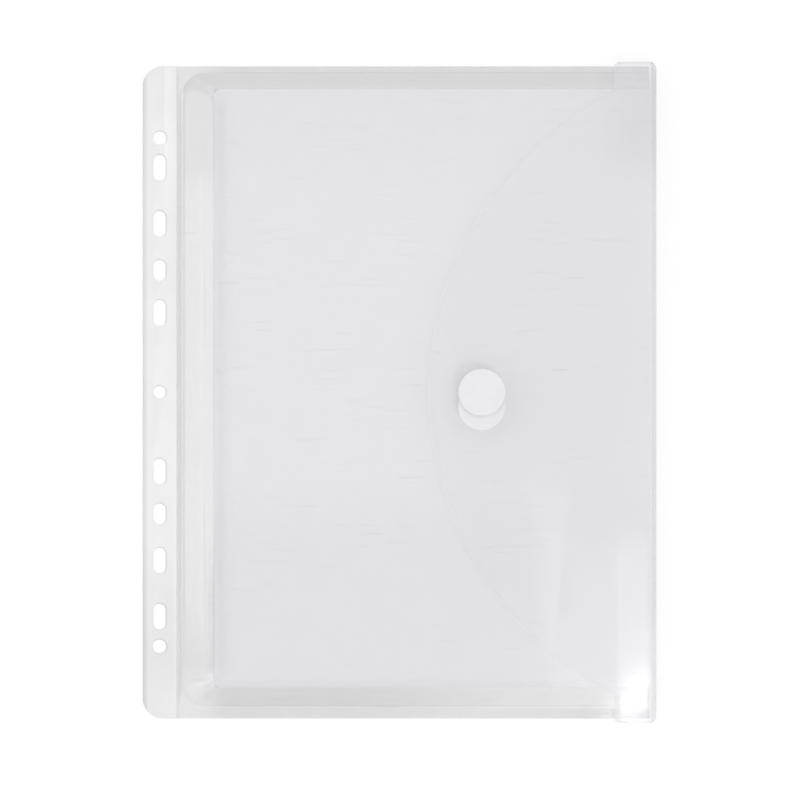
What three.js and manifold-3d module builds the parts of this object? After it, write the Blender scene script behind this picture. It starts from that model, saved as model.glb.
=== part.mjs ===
// Clear A4 ring-binder wallet: a punched binding strip, a pocket with an expanding gusset on three
// sides, and a curved flap that folds over the open side and is held by a hook-and-loop coin.
// Millimetres. +X runs from the binding strip to the open side, +Y up the page, +Z away from the table.
// The origin is under the middle of the wallet, on the plane that the back sheet lies on.

import * as THREE from "three";
import { mergeVertices, mergeGeometries } from "three/addons/utils/BufferGeometryUtils.js";
import Module from "manifold-3d";

// Sheets, seats and running gaps
const SHEET = 0.2; // thickness of the clear sheet
const WELD_SEAT = 0.02; // between two faces that are welded or glued together
const FOLD_GAP = 0.3; // left open along a crease, and round a piece that moves
const FOLD_REACH = 0.4; // from a fold's axis to the end of the spine beside it

// Outline of the pocket, in plan
const POCKET_LENGTH = 308; // along Y
const WALLET_WIDTH = 243; // along X, strip and fold included
const STRIP_WIDTH = 16;
const STRIP_CORNER = 9.5; // radius of the strip's two outer corners
const STRIP_LAP = 2; // the strip's thin edge, which laps over the pocket's sheets
const LIP_SETBACK = 3.9; // from the folded edge to the pocket's mouth
const MOUTH_CORNER = 3.5; // radius at the folded edge, top and bottom

// Binder holes: distance of each pair from the middle, and the length of each slot
const HOLE_INSET = 7.8; // from the outer edge to the line of holes
const SLOT_WIDTH = 6;
const RING_HOLE = 6.5; // the outermost round pair
const CENTRE_HOLE = 6;
const RING_HOLE_Y = 120;
const SLOTS = [
  { y: 106, length: 12.3 },
  { y: 79.5, length: 12.3 },
  { y: 57.5, length: 10 },
  { y: 37.5, length: 12.3 },
];

// Gusset: widths in plan on the three closed sides, and the clear depth when it stands open
const POCKET_DEPTH = 8;
const WELD_LEFT = 2.2; // welded margin beside the strip
const WELD_TOP = 3;
const WELD_BOTTOM = 6;
const GUSSET_LEFT = 16;
const GUSSET_TOP = 8.4;
const GUSSET_BOTTOM = 9.3;
const FOOT_CORNER = 12; // corner radius where the gusset leaves the weld
const CREST_CORNER = 3; // corner radius where it meets the front panel
const RIDGE_PLACE = 0.62; // where the middle crease lies across the gusset's width
const RIDGE_RISE = 0.74; // how much of the depth is gained below that crease
const CREASE_SOFTNESS = 0.07; // share of the width that each crease is rounded over
const PLEAT_DEPTH = 0.55; // the folds that gather the gusset round a corner
const PLEATS = 3;
const PLEAT_STEPS = 4;

// Flap: a full-height root along the fold, and a round tongue
const FLAP_OVERHANG = 1; // the flap's root stands past the pocket, top and bottom
const FLAP_ROOT = 21.2; // from the folded edge to the shoulders
const FLAP_RADIUS = 160;
const FLAP_DEPTH = 108.4; // from the folded edge to the tip of the tongue
const SHOULDER_CORNER = 2;
const SPINE_LEAN = 3.6; // how far the spine leans in over the pocket

// Hook-and-loop coins
const COIN_RADIUS = 11;
const COIN_FROM_TIP = 25.3; // from the tip of the flap's tongue to the coins' middle
const HOOK_COIN_Y = 0;
const LOOP_COIN_Y = -6.8;
const COIN_FILM = 0.15; // the adhesive disc behind each coin
const FILM_INSET = 0.4;
const LOOP_PILE = 0.85;
const HOOK_BASE = 0.35;
const HOOK_HEIGHT = 0.6;
const HOOK_THICK = 0.24;
const HOOK_CURL = 0.24; // radius of each hook's bent tip
const HOOK_PITCH = 1.75;
const HOOK_MARGIN = 0.9; // bare edge round the field of hooks
const COIN_GAP = 0.3; // between the hooks' tips and the pile

// Places that follow from the sizes above
const left = -WALLET_WIDTH / 2;
const foldX = WALLET_WIDTH / 2;
const top = POCKET_LENGTH / 2;
const bottom = -POCKET_LENGTH / 2;
const stripStep = left + STRIP_WIDTH - STRIP_LAP;
const stripEdge = left + STRIP_WIDTH;
const sheetLeft = stripStep + FOLD_GAP;
const mouthX = foldX - LIP_SETBACK;
const holeX = left + HOLE_INSET;
const tipX = foldX - FLAP_DEPTH;
const coinX = tipX + COIN_FROM_TIP;

const backTop = SHEET;
const rimBase = backTop + WELD_SEAT;
const rimTop = rimBase + SHEET;
const lapBase = rimTop + WELD_SEAT;
const stripTop = lapBase + SHEET;
const frontBase = backTop + POCKET_DEPTH;
const frontTop = frontBase + SHEET;
const loopFilmBase = frontTop + WELD_SEAT;
const loopBase = loopFilmBase + COIN_FILM + WELD_SEAT;
const hookTips = loopBase + LOOP_PILE + COIN_GAP;
const hookBase = hookTips + HOOK_HEIGHT;
const hookFilmBase = hookBase + HOOK_BASE + WELD_SEAT;
const flapBase = hookFilmBase + COIN_FILM + WELD_SEAT;

const foot = {
  left: stripEdge + WELD_LEFT,
  top: top - WELD_TOP,
  bottom: bottom + WELD_BOTTOM,
  corner: FOOT_CORNER,
};
const crest = {
  left: foot.left + GUSSET_LEFT,
  top: foot.top - GUSSET_TOP,
  bottom: foot.bottom + GUSSET_BOTTOM,
  corner: CREST_CORNER,
};

// The two fold axes of the spine, as points in the XZ plane
const lowerFold = { x: foldX - SHEET / 2, z: SHEET / 2 };
const upperFold = { x: lowerFold.x - SPINE_LEAN, z: flapBase + SHEET / 2 };
const flapHalf = top + FLAP_OVERHANG;

const wasm = await Module();
wasm.setup();

// A closed mesh as a solid: only positions are kept, and shared vertices are merged
function toSolid(geometry) {
  const bare = geometry.clone();
  bare.deleteAttribute("normal");
  bare.deleteAttribute("uv");
  const merged = mergeVertices(bare, 1e-4);
  return new wasm.Manifold(
    new wasm.Mesh({
      numProp: 3,
      vertProperties: new Float32Array(merged.attributes.position.array),
      triVerts: new Uint32Array(merged.index.array),
    }),
  );
}

function toGeometry(solid) {
  const mesh = solid.getMesh();
  const geometry = new THREE.BufferGeometry();
  geometry.setAttribute("position", new THREE.BufferAttribute(mesh.vertProperties, 3));
  geometry.setIndex(new THREE.BufferAttribute(mesh.triVerts, 1));
  geometry.computeVertexNormals();
  return geometry;
}

function plate(shape, thickness, segments = 8) {
  return new THREE.ExtrudeGeometry(shape, {
    depth: thickness,
    bevelEnabled: false,
    curveSegments: segments,
  });
}

// A rectangle with its own radius at each corner, anticlockwise from the lower left
function roundedRectangle(x0, y0, x1, y1, [lowerLeft, lowerRight, upperRight, upperLeft]) {
  const shape = new THREE.Shape();
  const quarter = Math.PI / 2;
  shape.moveTo(x0 + lowerLeft, y0);
  shape.lineTo(x1 - lowerRight, y0);
  if (lowerRight) shape.absarc(x1 - lowerRight, y0 + lowerRight, lowerRight, -quarter, 0);
  shape.lineTo(x1, y1 - upperRight);
  if (upperRight) shape.absarc(x1 - upperRight, y1 - upperRight, upperRight, 0, quarter);
  shape.lineTo(x0 + upperLeft, y1);
  if (upperLeft) shape.absarc(x0 + upperLeft, y1 - upperLeft, upperLeft, quarter, 2 * quarter);
  shape.lineTo(x0, y0 + lowerLeft);
  if (lowerLeft) shape.absarc(x0 + lowerLeft, y0 + lowerLeft, lowerLeft, 2 * quarter, 3 * quarter);
  return shape;
}

// A hole with round ends, standing upright on the line of holes; a round hole when it is as long as wide
function binderHole(y, width, length) {
  const radius = width / 2;
  const straight = (length - width) / 2;
  const hole = new THREE.Path();
  hole.absarc(holeX, y + straight, radius, 0, Math.PI);
  hole.absarc(holeX, y - straight, radius, Math.PI, 2 * Math.PI);
  hole.closePath();
  return hole;
}

function backPanel() {
  const right = foldX - SHEET / 2 - FOLD_GAP;
  const corners = [0, MOUTH_CORNER, MOUTH_CORNER, 0];
  return plate(roundedRectangle(sheetLeft, bottom, right, top, corners), SHEET);
}

function bindingStrip() {
  const outline = roundedRectangle(left, bottom, stripStep, top, [STRIP_CORNER, 0, 0, STRIP_CORNER]);
  outline.holes.push(binderHole(0, CENTRE_HOLE, CENTRE_HOLE));
  for (const side of [-1, 1]) {
    outline.holes.push(binderHole(side * RING_HOLE_Y, RING_HOLE, RING_HOLE));
    for (const slot of SLOTS) {
      outline.holes.push(binderHole(side * slot.y, SLOT_WIDTH, slot.length));
    }
  }
  const slab = toSolid(plate(outline, stripTop));
  const lapStart = stripStep - STRIP_LAP / 2;
  const lap = plate(roundedRectangle(lapStart, bottom, stripEdge, top, [0, 0, 0, 0]), SHEET);
  lap.translate(0, 0, lapBase);
  return toGeometry(slab.add(toSolid(lap)));
}

// The line that the gusset follows at one level: in from the mouth along the top, round the two
// left corners and back out along the bottom. Every level has the same number of points.
function gussetLine(edge, grow = 0) {
  const radius = edge.corner + grow;
  const x0 = edge.left - grow;
  const y1 = edge.top + grow;
  const y0 = edge.bottom - grow;
  const steps = PLEATS * PLEAT_STEPS;
  const points = [{ x: mouthX, y: y1, turn: 0 }];
  for (let i = 0; i <= steps; i++) {
    const angle = Math.PI / 2 + (i / steps) * (Math.PI / 2);
    const x = x0 + radius + radius * Math.cos(angle);
    points.push({ x, y: y1 - radius + radius * Math.sin(angle), turn: i / steps });
  }
  for (let i = 0; i <= steps; i++) {
    const angle = Math.PI + (i / steps) * (Math.PI / 2);
    const x = x0 + radius + radius * Math.cos(angle);
    points.push({ x, y: y0 + radius + radius * Math.sin(angle), turn: i / steps });
  }
  points.push({ x: mouthX, y: y0, turn: 0 });
  return points;
}

// The welded margin of the front sheet: flat on the back sheet, round the three closed sides
function weldRim() {
  const shape = new THREE.Shape();
  shape.moveTo(mouthX, bottom);
  shape.lineTo(mouthX, gussetLine(foot, FOLD_GAP).at(-1).y);
  for (const point of gussetLine(foot, FOLD_GAP).slice(0, -1).reverse()) {
    shape.lineTo(point.x, point.y);
  }
  shape.lineTo(mouthX, top);
  shape.lineTo(sheetLeft, top);
  shape.lineTo(sheetLeft, bottom);
  shape.closePath();
  return plate(shape, SHEET).translate(0, 0, rimBase);
}

// Across the gusset, from the weld (0) to the front panel (1): the share of the rise at each place.
// Each crease is a short parabola between its two straight walls.
function gussetSection() {
  const corners = [
    { s: 0, rise: 0 },
    { s: RIDGE_PLACE, rise: RIDGE_RISE },
    { s: 1, rise: 1 },
  ];
  const slope = (a, b) => (b.rise - a.rise) / (b.s - a.s);
  const lower = slope(corners[0], corners[1]);
  const upper = slope(corners[1], corners[2]);
  const soft = CREASE_SOFTNESS;
  const section = [{ s: 0, rise: 0 }];
  for (let i = 1; i <= 3; i++) {
    const s = (soft * i) / 3;
    section.push({ s, rise: (lower * s * s) / (2 * soft) });
  }
  const sunk = (lower * soft) / 2;
  for (let i = 0; i <= 4; i++) {
    const t = i / 4;
    const s = RIDGE_PLACE - soft + 2 * soft * t;
    const before = RIDGE_RISE - sunk - lower * soft;
    section.push({ s, rise: before + 2 * soft * (lower * t + ((upper - lower) * t * t) / 2) });
  }
  const end = section.at(-1).rise;
  for (let i = 1; i <= 3; i++) {
    const s = 1 - soft + (soft * i) / 3;
    const along = upper * (s - (RIDGE_PLACE + soft));
    const flattening = (upper * (s - (1 - soft)) ** 2) / (2 * soft);
    section.push({ s, rise: end + along - flattening });
  }
  const full = section.at(-1).rise;
  return section.map(({ s, rise }) => ({ s, rise: rise / full }));
}

// A thin band lofted through one line per level of the section, gathered in pleats at the corners
function gusset() {
  const section = gussetSection();
  const blend = (a, b, s) => a + (b - a) * s;
  const rows = section.map(({ s, rise }) => {
    const edge = {
      left: blend(foot.left, crest.left, s),
      top: blend(foot.top, crest.top, s),
      bottom: blend(foot.bottom, crest.bottom, s),
      corner: blend(foot.corner, crest.corner, s),
    };
    return gussetLine(edge).map(({ x, y, turn }) => {
      const fold = 1 - Math.abs(((turn * PLEATS * 2) % 2) - 1);
      const gather = (27 / 4) * PLEAT_DEPTH * fold * s * s * (1 - s);
      return [x, y, rimBase + (frontBase - rimBase) * rise - gather];
    });
  });
  const across = rows.length;
  const along = rows[0].length;
  const position = [];
  for (const lift of [0, SHEET]) {
    for (const row of rows) {
      for (const [x, y, z] of row) position.push(x, y, z + lift);
    }
  }
  const at = (side, j, i) => (side * across + j) * along + i;
  const index = [];
  const quad = (a, b, c, d) => index.push(a, b, c, a, c, d);
  for (let j = 0; j < across - 1; j++) {
    for (let i = 0; i < along - 1; i++) {
      quad(at(1, j, i), at(1, j, i + 1), at(1, j + 1, i + 1), at(1, j + 1, i));
      quad(at(0, j, i), at(0, j + 1, i), at(0, j + 1, i + 1), at(0, j, i + 1));
    }
    quad(at(0, j, 0), at(1, j, 0), at(1, j + 1, 0), at(0, j + 1, 0));
    const last = along - 1;
    quad(at(0, j, last), at(0, j + 1, last), at(1, j + 1, last), at(1, j, last));
  }
  for (let i = 0; i < along - 1; i++) {
    quad(at(0, 0, i), at(0, 0, i + 1), at(1, 0, i + 1), at(1, 0, i));
    const end = across - 1;
    quad(at(0, end, i), at(1, end, i), at(1, end, i + 1), at(0, end, i + 1));
  }
  const geometry = new THREE.BufferGeometry();
  geometry.setAttribute("position", new THREE.Float32BufferAttribute(position, 3));
  geometry.setIndex(index);
  geometry.computeVertexNormals();
  return geometry;
}

function frontPanel() {
  const inner = CREST_CORNER - FOLD_GAP;
  const corners = [inner, MOUTH_CORNER, MOUTH_CORNER, inner];
  const x0 = crest.left + FOLD_GAP;
  const y0 = crest.bottom + FOLD_GAP;
  const y1 = crest.top - FOLD_GAP;
  return plate(roundedRectangle(x0, y0, mouthX, y1, corners), SHEET).translate(0, 0, frontBase);
}

// The strip of sheet between the two folds. It stands on the lower fold and leans in over the
// pocket; its ends are cut round, so that the folded edge has round corners from above.
function flapSpine() {
  const rise = upperFold.z - lowerFold.z;
  const reach = Math.hypot(rise, SPINE_LEAN);
  const steps = 12;
  const half = (s) => {
    const share = 1 - Math.min(s / reach, 1);
    return flapHalf - MOUTH_CORNER + MOUTH_CORNER * Math.sqrt(1 - share * share);
  };
  const shape = new THREE.Shape();
  shape.moveTo(FOLD_REACH, -half(FOLD_REACH));
  for (const side of [-1, 1]) {
    for (let i = 0; i <= steps; i++) {
      const t = side < 0 ? i / steps : 1 - i / steps;
      const s = FOLD_REACH + (reach - 2 * FOLD_REACH) * t;
      shape.lineTo(s, side * half(s));
    }
  }
  shape.closePath();
  const geometry = plate(shape, SHEET);
  geometry.translate(0, 0, -SHEET / 2);
  geometry.rotateY(-Math.PI / 2 - Math.atan2(SPINE_LEAN, rise));
  geometry.translate(lowerFold.x, 0, lowerFold.z);
  return geometry;
}

function flap() {
  const right = upperFold.x - FOLD_GAP;
  const shoulder = foldX - FLAP_ROOT;
  const centre = tipX + FLAP_RADIUS;
  const meet = Math.acos((shoulder - centre) / FLAP_RADIUS);
  const quarter = Math.PI / 2;
  const shape = new THREE.Shape();
  shape.moveTo(right, -flapHalf);
  shape.lineTo(right, flapHalf);
  const corner = SHOULDER_CORNER;
  shape.absarc(shoulder + corner, flapHalf - corner, corner, quarter, 2 * quarter);
  shape.absarc(centre, 0, FLAP_RADIUS, meet, 2 * Math.PI - meet);
  shape.absarc(shoulder + corner, -flapHalf + corner, corner, 2 * quarter, 3 * quarter);
  shape.closePath();
  return plate(shape, SHEET, 32).translate(0, 0, flapBase);
}

// A round pad turned from its half section, with softened rims
function coinPad(radius, thickness, rim) {
  const profile = [new THREE.Vector2(0, 0)];
  const steps = 3;
  for (const [height, from] of [[rim, -Math.PI / 2], [thickness - rim, 0]]) {
    for (let i = 0; i <= steps; i++) {
      const angle = from + (i / steps) * (Math.PI / 2);
      const r = radius - rim + rim * Math.cos(angle);
      profile.push(new THREE.Vector2(r, height + rim * Math.sin(angle)));
    }
  }
  profile.push(new THREE.Vector2(0, thickness));
  return new THREE.LatheGeometry(profile, 48).rotateX(Math.PI / 2);
}

// One hook: a square stem that stands down from the coin's base and curls over at its tip
function hook(direction) {
  const stem = HOOK_HEIGHT - HOOK_CURL - HOOK_THICK / 2;
  const root = HOOK_BASE / 2;
  const rings = [{ x: 0, z: root, lean: 0 }, { x: 0, z: -stem, lean: 0 }];
  for (const lean of [Math.PI / 3, (2 * Math.PI) / 3, Math.PI]) {
    rings.push({
      x: direction * HOOK_CURL * (1 - Math.cos(lean)),
      z: -stem - HOOK_CURL * Math.sin(lean),
      lean: direction * lean,
    });
  }
  const half = HOOK_THICK / 2;
  const position = [];
  for (const { x, z, lean } of rings) {
    for (const [side, across] of [[-1, -1], [1, -1], [1, 1], [-1, 1]]) {
      position.push(x + side * half * Math.cos(lean), across * half, z + side * half * Math.sin(lean));
    }
  }
  const index = [0, 1, 2, 0, 2, 3];
  const ends = 4 * (rings.length - 1);
  index.push(ends, ends + 2, ends + 1, ends, ends + 3, ends + 2);
  for (let ring = 0; ring < rings.length - 1; ring++) {
    for (let k = 0; k < 4; k++) {
      const a = 4 * ring + k;
      const b = 4 * ring + ((k + 1) % 4);
      index.push(a, a + 4, b, b, a + 4, b + 4);
    }
  }
  const geometry = new THREE.BufferGeometry();
  geometry.setAttribute("position", new THREE.Float32BufferAttribute(position, 3));
  geometry.setIndex(index);
  return geometry;
}

// The hook coin: a flat base with rows of hooks, each row bent the other way from the last
function hookCoin() {
  const base = toSolid(coinPad(COIN_RADIUS, HOOK_BASE, HOOK_BASE / 3));
  const rowPitch = (HOOK_PITCH * Math.sqrt(3)) / 2;
  const reach = COIN_RADIUS - HOOK_MARGIN - 2 * HOOK_CURL;
  const rows = Math.floor(reach / rowPitch);
  const hooks = [];
  for (let row = -rows; row <= rows; row++) {
    const odd = Math.abs(row % 2);
    const y = row * rowPitch;
    const count = Math.ceil(reach / HOOK_PITCH);
    for (let place = -count; place <= count; place++) {
      const x = (place + odd / 2) * HOOK_PITCH;
      if (Math.hypot(x, y) <= reach) hooks.push(hook(odd ? 1 : -1).translate(x, y, 0));
    }
  }
  const field = toSolid(mergeGeometries(hooks));
  return toGeometry(base.add(field));
}

function material(color, roughness, opacity = 1) {
  return new THREE.MeshStandardMaterial({
    color,
    roughness,
    metalness: 0,
    transparent: opacity < 1,
    opacity,
    side: opacity < 1 ? THREE.DoubleSide : THREE.FrontSide,
  });
}

function piece(name, geometry, finish) {
  const mesh = new THREE.Mesh(geometry, finish);
  mesh.name = name;
  return mesh;
}

const clearSheet = () => material(0xe9ecef, 0.12, 0.3);
const filmDisc = () => material(0xf2f2ee, 0.3, 0.6);

const pocket = new THREE.Group();
pocket.add(piece("back_panel", backPanel(), clearSheet()));
pocket.add(piece("binding_strip", bindingStrip(), material(0xf0f1f2, 0.4, 0.8)));
pocket.add(piece("weld_rim", weldRim(), clearSheet()));
pocket.add(piece("gusset", gusset(), clearSheet()));

const film = () => new THREE.CylinderGeometry(
  COIN_RADIUS - FILM_INSET,
  COIN_RADIUS - FILM_INSET,
  COIN_FILM,
  48,
).rotateX(Math.PI / 2);

const front = new THREE.Group();
front.add(piece("front_panel", frontPanel(), clearSheet()));
const loopPatch = new THREE.Group();
loopPatch.position.set(coinX, LOOP_COIN_Y, 0);
const loopFilm = piece("loop_coin_film", film(), filmDisc());
loopFilm.position.z = loopFilmBase + COIN_FILM / 2;
const loopPad = piece("loop_coin", coinPad(COIN_RADIUS, LOOP_PILE, LOOP_PILE / 3), material(0xf5f5f3, 0.95));
loopPad.position.z = loopBase;
loopPatch.add(loopFilm, loopPad);
front.add(loopPatch);

const closure = new THREE.Group();
closure.add(piece("flap_spine", flapSpine(), clearSheet()));
closure.add(piece("flap", flap(), clearSheet()));
const hookPatch = new THREE.Group();
hookPatch.position.set(coinX, HOOK_COIN_Y, 0);
const hookFilm = piece("hook_coin_film", film(), filmDisc());
hookFilm.position.z = hookFilmBase + COIN_FILM / 2;
const hooks = piece("hook_coin", hookCoin(), material(0xf3f3f1, 0.7));
hooks.position.z = hookBase;
hookPatch.add(hookFilm, hooks);
closure.add(hookPatch);

const wallet = new THREE.Group();
wallet.add(pocket, front, closure);

export default wallet;
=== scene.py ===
"""Clear A4 ring-binder wallet: the looks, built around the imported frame.

A milky punched strip, a clear pocket on an expanding gusset, and a curved flap held by a hook-and-loop coin.
Everything is in metres: +X from the strip to the folded edge, +Y up the page, +Z away from the table.
"""

from __future__ import annotations

import logging
import math
import random
from dataclasses import dataclass
from enum import Enum
from typing import Callable, Mapping, Sequence

import bmesh
import bpy
from mathutils import Matrix, Vector, noise

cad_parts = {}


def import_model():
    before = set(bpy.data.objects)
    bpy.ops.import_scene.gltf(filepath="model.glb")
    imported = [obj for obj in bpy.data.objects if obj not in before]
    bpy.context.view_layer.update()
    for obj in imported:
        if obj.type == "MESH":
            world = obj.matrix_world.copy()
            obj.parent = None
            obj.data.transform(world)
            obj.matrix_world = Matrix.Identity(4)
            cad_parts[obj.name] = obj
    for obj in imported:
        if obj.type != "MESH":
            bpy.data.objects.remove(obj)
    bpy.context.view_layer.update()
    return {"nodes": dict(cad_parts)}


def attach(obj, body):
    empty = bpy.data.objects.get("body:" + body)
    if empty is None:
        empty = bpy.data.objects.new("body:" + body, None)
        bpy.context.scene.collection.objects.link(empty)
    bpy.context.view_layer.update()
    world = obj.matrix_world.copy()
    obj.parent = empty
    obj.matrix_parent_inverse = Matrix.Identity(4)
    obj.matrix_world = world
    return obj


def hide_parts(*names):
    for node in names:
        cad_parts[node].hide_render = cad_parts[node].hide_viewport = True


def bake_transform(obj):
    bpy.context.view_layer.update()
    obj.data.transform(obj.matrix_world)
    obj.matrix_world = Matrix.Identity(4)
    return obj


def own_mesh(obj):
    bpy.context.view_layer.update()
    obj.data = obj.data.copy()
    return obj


LOG = logging.getLogger("wallet")
MM = 0.001
PAINTED_SHADE = "painted_shade"  # vertex attribute of painted shade: from 0 down to -1 for more, as at a tight bend

Pair = tuple[float, float]
Point = tuple[float, float, float]
Colour = tuple[float, float, float]
Sides = tuple[float, float, float]  # left, bottom and top
Socket = bpy.types.NodeSocket
Material = bpy.types.Material
Nodes = Mapping[str, bpy.types.Object]


class Body(str, Enum):
    """The rigid bodies of the frame."""

    BACK = "back"
    FRONT = "front"
    SPINE = "spine"
    FLAP = "flap"


class Slot(str, Enum):
    """The material slots."""

    SHEET = "clear_sheet"
    STRIP = "strip_plastic"
    FILM = "adhesive_film"
    PILE = "loop_pile"
    HOOKS = "hook_plastic"


class Value:
    """A shader socket that takes Python arithmetic and adds the Math nodes for it."""

    def __init__(self, tree: bpy.types.NodeTree, socket: Socket) -> None:
        """Keeps the tree and the socket that gives the value."""
        self.tree = tree
        self.socket = socket

    def _math(self, operation: str, *terms: Value | float, clamp: bool = False) -> Value:
        """Adds one Math node.

        Args:
            operation: the node's operation.
            terms: its inputs, in order.
            clamp: whether the result is kept between 0 and 1.

        Returns:
            The node's result.
        """
        made = self.tree.nodes.new("ShaderNodeMath")
        made.operation = operation
        made.use_clamp = clamp
        for place, term in enumerate(terms):
            if isinstance(term, Value):
                self.tree.links.new(term.socket, made.inputs[place])
            else:
                made.inputs[place].default_value = term
        return Value(self.tree, made.outputs[0])

    def __add__(self, other: Value | float) -> Value:
        """self + other."""
        return self._math("ADD", self, other)

    __radd__ = __add__

    def __mul__(self, other: Value | float) -> Value:
        """self * other."""
        return self._math("MULTIPLY", self, other)

    __rmul__ = __mul__

    def __sub__(self, other: Value | float) -> Value:
        """self - other."""
        return self._math("SUBTRACT", self, other)

    def __rsub__(self, other: Value | float) -> Value:
        """other - self."""
        return self._math("SUBTRACT", other, self)

    def __pow__(self, other: float) -> Value:
        """self to a power."""
        return self._math("POWER", self, other)

    def folded(self, length: float) -> Value:
        """The value folded back and forth between 0 and a length."""
        return self._math("PINGPONG", self, length)

    def clamped(self) -> Value:
        """The value kept between 0 and 1."""
        return self._math("ADD", self, 0.0, clamp=True)


class Recipe:
    """One material while it is put together."""

    def __init__(self, name: str) -> None:
        """Starts a material with an output, a Principled shader and object coordinates."""
        self.material = bpy.data.materials.new(name)
        self.material.use_nodes = True
        self.tree = self.material.node_tree
        self.tree.nodes.clear()
        self.output = self.tree.nodes.new("ShaderNodeOutputMaterial")
        self.shader = self.tree.nodes.new("ShaderNodeBsdfPrincipled")
        self.tree.links.new(self.shader.outputs[0], self.output.inputs["Surface"])
        self.place = self.tree.nodes.new("ShaderNodeTexCoord").outputs["Object"]

    def node(self, kind: str, settings: dict | None = None, **sockets: object) -> bpy.types.Node:
        """Adds a node.

        Args:
            kind: the node's type.
            settings: its properties, set before the sockets.
            sockets: values or links by input name, with _ for a space.

        Returns:
            The node.
        """
        made = self.tree.nodes.new(kind)
        for key, value in (settings or {}).items():
            setattr(made, key, value)
        self.fill(made, **sockets)
        return made

    def fill(self, node: bpy.types.Node, **sockets: object) -> None:
        """Sets or links a node's inputs by name, with _ for a space."""
        for key, value in sockets.items():
            self.feed(node.inputs[key.replace("_", " ")], value)

    def feed(self, socket: Socket, value: object) -> None:
        """Links or sets one input socket.

        Args:
            socket: the input.
            value: a value, another node's output or a plain setting.
        """
        if isinstance(value, Value):
            value = value.socket
        if isinstance(value, Socket):
            self.tree.links.new(value, socket)
        else:
            socket.default_value = value

    def value(self, node: bpy.types.Node, output: str = "Fac") -> Value:
        """One output of a node, ready for arithmetic."""
        return Value(self.tree, node.outputs[output])

    def noise(self, scale: float, detail: float = 2.0, stretch: Point = (1, 1, 1),
              turn: float = 0.0) -> Value:
        """Noise on object coordinates.

        Args:
            scale: features per metre, about.
            detail: octaves.
            stretch: how much finer the pattern is along each axis.
            turn: turn about Z, in radians.

        Returns:
            A value from 0 to 1, about 0.5.
        """
        mapping = self.node("ShaderNodeMapping", Vector=self.place, Rotation=(0, 0, turn), Scale=stretch)
        made = self.node("ShaderNodeTexNoise", Vector=mapping.outputs[0], Scale=scale, Detail=detail)
        return self.value(made)

    def ramp(self, value: Value, low: float, high: float) -> Value:
        """0 below low, 1 above high, straight between."""
        made = self.node("ShaderNodeMapRange", Value=value, From_Min=low, From_Max=high)
        return self.value(made, "Result")

    def shade(self) -> Value:
        """The shade painted on the piece, 0 to 1, and 0 on a piece that has none."""
        painted_shade = self.node("ShaderNodeAttribute", {"attribute_name": PAINTED_SHADE})
        return self.ramp(self.value(painted_shade), 0.0, -1.0)

    def mix(self, factor: Value, a: Colour | Socket, b: Colour) -> Socket:
        """Mixes two colours.

        Args:
            factor: 0 for the first, 1 for the second.
            a: the first, plain or linked.
            b: the second, plain.

        Returns:
            The mixed colour.
        """
        made = self.node("ShaderNodeMix", {"data_type": "RGBA"})
        self.feed(made.inputs[0], factor)
        self.feed(made.inputs[6], a if isinstance(a, Socket) else (*a, 1))
        self.feed(made.inputs[7], (*b, 1))
        return made.outputs[2]

    def bump(self, height: Value, distance: float) -> Socket:
        """A bumped normal."""
        return self.node("ShaderNodeBump", Strength=1.0, Distance=distance, Height=height).outputs[0]

    def set(self, **sockets: object) -> None:
        """Sets or links inputs of the Principled shader."""
        self.fill(self.shader, **sockets)


@dataclass(frozen=True)
class ClearSheet:
    """The soft clear sheet: faintly grey, glossy, wavy, with fine handling marks, and darker and cloudier
    where its piece carries painted shade.
    """

    name: str = "clear_sheet"
    tint: Colour = (0.65, 0.642, 0.675)
    # the colour of the painted shade
    dark: Colour = (0.17, 0.17, 0.185)
    opacity: float = 0.066
    roughness: float = 0.09
    facing: float = 0.045
    through: float = 0.6
    marks: float = 0.025
    mark_scale: float = 60
    mark_stretch: Point = (1.0, 14.0, 1.0)
    mark_turn: float = 0.5
    mark_span: Pair = (0.64, 0.74)
    # how much the painted shade clouds the sheet
    darkens: float = 0.26
    wave: float = 0.0003
    wave_scale: float = 26

    def material(self) -> Material:
        """Builds the finish.

        Returns:
            The material.
        """
        r = Recipe(self.name)
        shade = r.shade()
        marks = r.ramp(r.noise(self.mark_scale, 2, self.mark_stretch, self.mark_turn), *self.mark_span)
        alpha = self.opacity + self.marks * marks + self.darkens * shade
        normal = r.bump(r.noise(self.wave_scale, 1.0), self.wave)
        light = r.value(r.node("ShaderNodeLightPath"), "Is Shadow Ray")
        shadow = 1 - self.through * light  # the sheet's own shadow is lighter than its look
        r.set(Base_Color=r.mix(shade, self.tint, self.dark), Roughness=0.35, Specular_IOR_Level=0.0,
              Alpha=(alpha * shadow).clamped())
        edge = r.value(r.node("ShaderNodeLayerWeight", Blend=0.5), "Facing")
        gloss = r.node("ShaderNodeBsdfAnisotropic", Roughness=self.roughness, Normal=normal)
        shine = (self.facing + (1 - self.facing) * edge ** 5.0).clamped()
        coat = r.node("ShaderNodeMixShader")
        for place, part in enumerate((shine * shadow, r.shader.outputs[0], gloss.outputs[0])):
            r.feed(coat.inputs[place], part)
        r.feed(r.output.inputs["Surface"], coat.outputs[0])
        return r.material


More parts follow.
